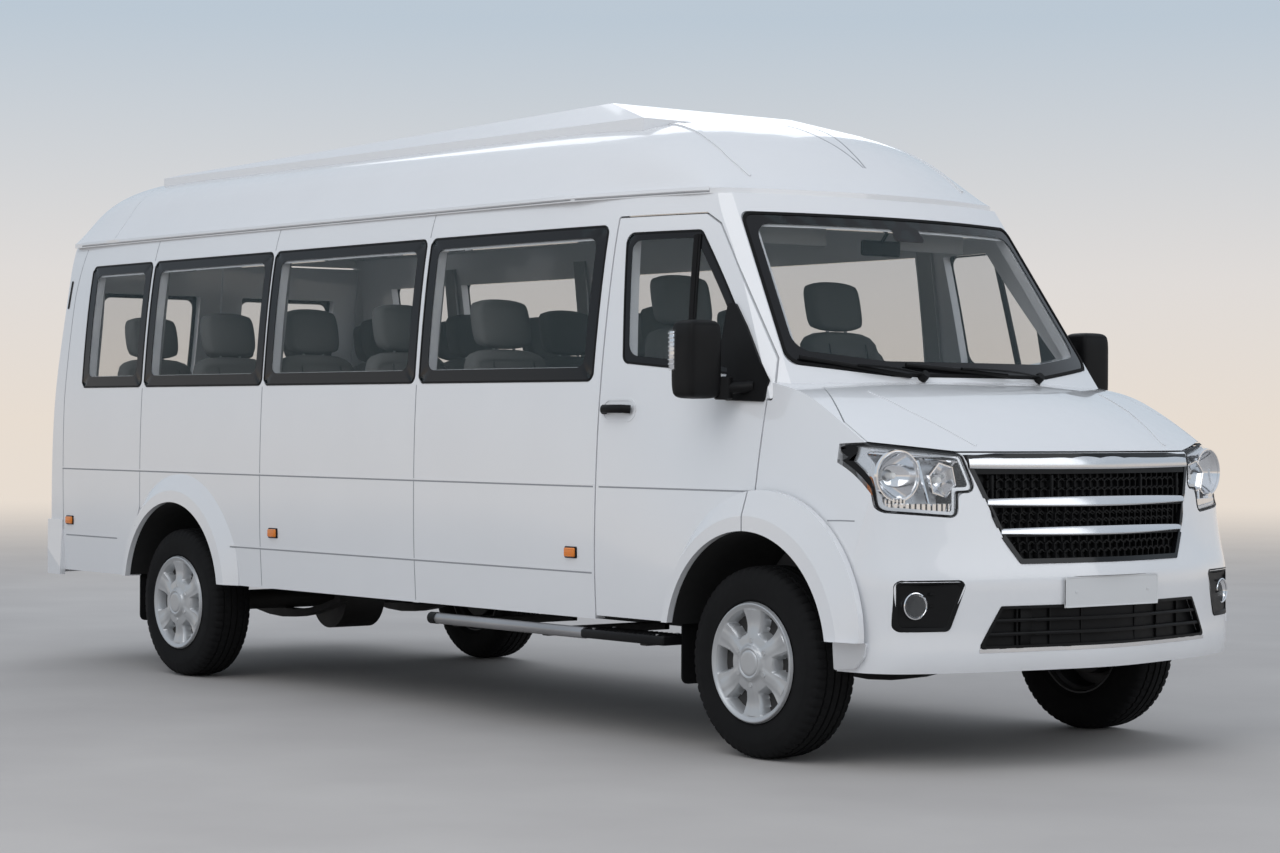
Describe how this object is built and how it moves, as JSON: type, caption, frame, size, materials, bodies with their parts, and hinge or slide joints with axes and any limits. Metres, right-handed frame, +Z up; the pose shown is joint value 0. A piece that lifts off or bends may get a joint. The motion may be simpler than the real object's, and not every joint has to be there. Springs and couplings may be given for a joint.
{
  "type": "minibus",
  "caption": "High-roof minibus on a ladder frame with hinged cab doors, twin rear doors, opening bonnet, steered front wheels and rows of seats.",
  "frame": {"origin": "On the ground, in the middle of the overall length and width", "axes": "+X forward, +Y to the vehicle's left, +Z up"},
  "size_m": [6.8511, 2.37, 2.68],
  "materials": {
    "body_paint": "gloss white",
    "tinted_glass": "tinted",
    "black_trim": "fine texture",
    "clear_lamp": "clear lens over reflectors",
    "red_lamp": "gloss",
    "amber_lamp": "gloss",
    "plate_blank": "satin blank",
    "chassis_black": "satin black",
    "engine_grey": "rough cast",
    "exhaust_steel": "satin",
    "floor_grey": "textured mat",
    "dash_grey": "fine grain",
    "seat_cloth": "woven",
    "tyre_rubber": "matt",
    "wheel_silver": "silver lacquer"
  },
  "bodies": {
    "root": {"cab_frame": "body_paint", "chassis_frame": "chassis_black", "dashboard": "dash_grey", "engine_block": "engine_grey", "exhaust": "exhaust_steel", "floor": "floor_grey", "front_axle": "chassis_black", "front_bumper": "body_paint", "front_lamps": "clear_lamp", "fuel_tank": "chassis_black", "grille": "black_trim", "leaf_springs": "chassis_black", "mud_flaps": "black_trim", "number_plate": "plate_blank", "propshaft": "chassis_black", "rear_axle": "chassis_black", "rear_bumper": "body_paint", "roof": "body_paint", "roof_pod": "body_paint", "roof_rear_cap": "body_paint", "scuttle": "black_trim", "seat_backs": "seat_cloth", "seat_cushions": "seat_cloth", "seat_frames": "chassis_black", "side_glass": "tinted_glass", "side_markers": "amber_lamp", "side_step": "exhaust_steel", "side_wall_left": "body_paint", "side_wall_right": "body_paint", "tail_lamps": "red_lamp", "windscreen": "tinted_glass", "wing_left": "body_paint", "wing_right": "body_paint", "wipers": "black_trim"},
    "front_door_right": {"front_door_right": "body_paint", "door_glass_right": "tinted_glass", "mirror_right": "black_trim"},
    "rear_door_right": {"rear_door_right": "body_paint", "rear_glass_right": "tinted_glass"},
    "knuckle_right": {"knuckle_right": "chassis_black"},
    "wheel_front_right": {"tyre_front_right": "tyre_rubber", "wheel_front_right": "wheel_silver"},
    "wheel_rear_right": {"tyre_rear_right": "tyre_rubber", "wheel_rear_right": "wheel_silver"},
    "front_door_left": {"front_door_left": "body_paint", "door_glass_left": "tinted_glass", "mirror_left": "black_trim"},
    "rear_door_left": {"rear_door_left": "body_paint", "rear_glass_left": "tinted_glass"},
    "knuckle_left": {"knuckle_left": "chassis_black"},
    "wheel_front_left": {"tyre_front_left": "tyre_rubber", "wheel_front_left": "wheel_silver"},
    "wheel_rear_left": {"tyre_rear_left": "tyre_rubber", "wheel_rear_left": "wheel_silver"},
    "bonnet": {"bonnet": "body_paint"},
    "steering_wheel": {"steering_wheel": "black_trim"}
  },
  "joints": [
    {"name": "front_door_right_hinge", "type": "hinge", "parent": "root", "child": "front_door_right", "pos_m": [2.548, -1.045, 0.8], "axis": [0, 0.061, 0.9981], "range_deg": [0, 65]},
    {"name": "front_door_left_hinge", "type": "hinge", "parent": "root", "child": "front_door_left", "pos_m": [2.548, 1.045, 0.8], "axis": [0, 0.061, -0.9981], "range_deg": [0, 65]},
    {"name": "rear_door_right_hinge", "type": "hinge", "parent": "root", "child": "rear_door_right", "pos_m": [-3.405, -0.885, 0.78], "axis": [0.097, 0, 0.9953], "range_deg": [0, 180]},
    {"name": "rear_door_left_hinge", "type": "hinge", "parent": "root", "child": "rear_door_left", "pos_m": [-3.405, 0.885, 0.78], "axis": [-0.097, 0, -0.9953], "range_deg": [0, 180]},
    {"name": "bonnet_hinge", "type": "hinge", "parent": "root", "child": "bonnet", "pos_m": [2.64, 0, 1.465], "axis": [0, -1, 0], "range_deg": [0, 50]},
    {"name": "steer_left", "type": "hinge", "parent": "root", "child": "knuckle_left", "pos_m": [2.485, 0.83, 0.371], "axis": [0, 0, 1], "range_deg": [-35, 35]},
    {"name": "steer_right", "type": "hinge", "parent": "root", "child": "knuckle_right", "pos_m": [2.485, -0.83, 0.371], "axis": [0, 0, 1], "range_deg": [-35, 35]},
    {"name": "steering_wheel_turn", "type": "hinge", "parent": "root", "child": "steering_wheel", "pos_m": [2.01, 0.42, 1.33], "axis": [-0.8192, 0, 0.5736], "range_deg": [-420, 420]},
    {"name": "wheel_front_right_spin", "type": "hinge", "parent": "knuckle_right", "child": "wheel_front_right", "pos_m": [2.485, -0.909, 0.371], "axis": [0, 1, 0], "continuous": true},
    {"name": "wheel_front_left_spin", "type": "hinge", "parent": "knuckle_left", "child": "wheel_front_left", "pos_m": [2.485, 0.909, 0.371], "axis": [0, 1, 0], "continuous": true},
    {"name": "wheel_rear_right_spin", "type": "hinge", "parent": "root", "child": "wheel_rear_right", "pos_m": [-1.91, -0.909, 0.371], "axis": [0, 1, 0], "continuous": true},
    {"name": "wheel_rear_left_spin", "type": "hinge", "parent": "root", "child": "wheel_rear_left", "pos_m": [-1.91, 0.909, 0.371], "axis": [0, 1, 0], "continuous": true}
  ],
  "couplings": [
    {"joint": "steer_right", "follows": "steer_left", "ratio": 1},
    {"joint": "steering_wheel_turn", "follows": "steer_left", "ratio": 12}
  ]
}
